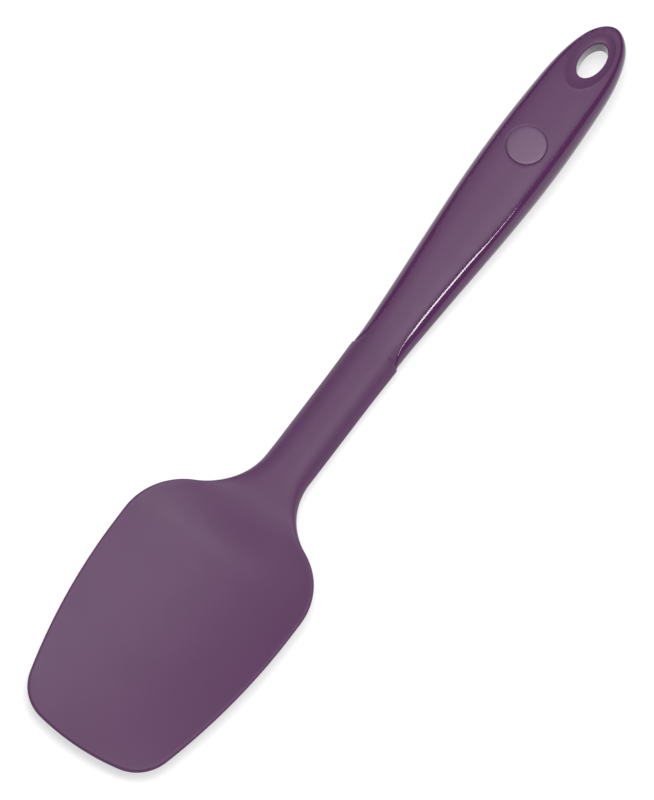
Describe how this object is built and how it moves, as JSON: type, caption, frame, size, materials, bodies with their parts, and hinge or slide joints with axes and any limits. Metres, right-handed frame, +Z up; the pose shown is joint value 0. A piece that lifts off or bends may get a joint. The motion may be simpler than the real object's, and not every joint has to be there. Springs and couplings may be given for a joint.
{
  "type": "silicone spatula",
  "caption": "Kitchen spatula with a scooped rubber-like blade running into a rounded handle with an oval hanging hole.",
  "frame": {"origin": "under the middle of the overall length, on the plane of the flat land under the blade and neck", "axes": "+X from the blade's tip towards the hanging hole, +Z up out of the front face, +Y across; the spatula lies on its back"},
  "size_m": [0.2824, 0.0654, 0.0146],
  "materials": {
    "silicone": "matte plum silicone",
    "handle_plastic": "satin to gloss plum",
    "steel": "brushed",
    "nylon": "natural, matte",
    "disc_plastic": "satin plum"
  },
  "bodies": {
    "root": {"silicone_head": "silicone", "handle_shell": "handle_plastic", "core_bar": "steel", "blade_insert": "nylon", "front_disc": "disc_plastic"}
  },
  "joints": []
}
